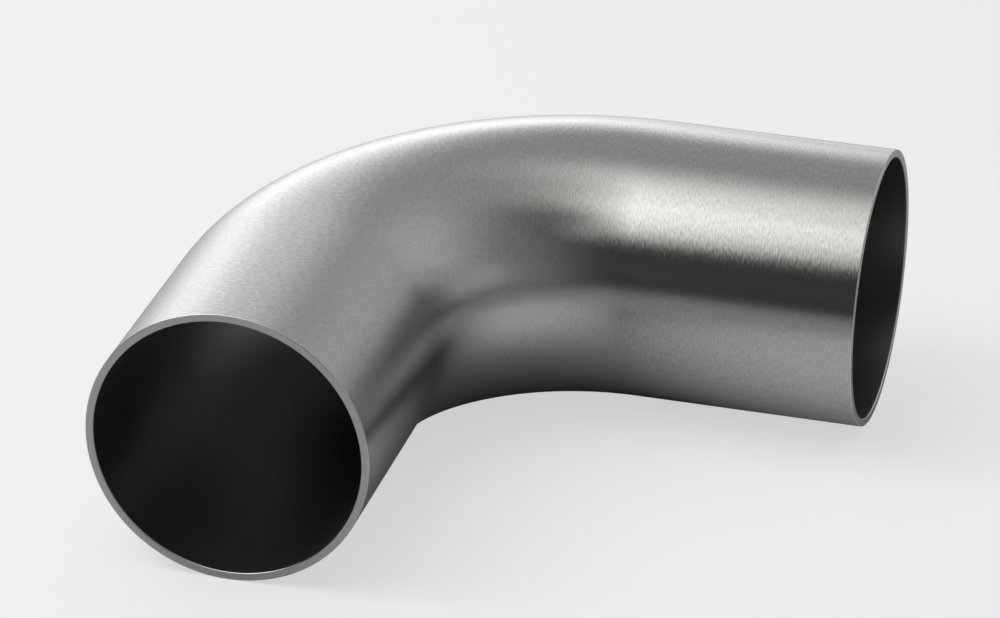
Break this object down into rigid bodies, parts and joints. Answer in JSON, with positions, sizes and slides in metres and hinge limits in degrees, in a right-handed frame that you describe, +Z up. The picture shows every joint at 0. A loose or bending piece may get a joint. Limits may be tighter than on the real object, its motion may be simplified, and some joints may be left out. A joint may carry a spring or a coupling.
{
  "type": "sanitary weld bend",
  "caption": "Thin-walled stainless tube bent through a right angle, with a straight square-cut leg at each end for butt welding into a hygienic pipe run.",
  "frame": {"origin": "centre of the face of end A, on the tube's centreline", "axes": "-Y out of end A, +X out of end B, +Z up and square to the plane of the bend, which rests on its side"},
  "size_m": [0.165, 0.165, 0.07],
  "materials": {
    "brushed_stainless": "stainless steel, ground round the tube with fine grit outside, smooth matt bore, bare saw-cut and deburred ends"
  },
  "bodies": {
    "root": {"weld_bend": "brushed_stainless"}
  },
  "joints": []
}
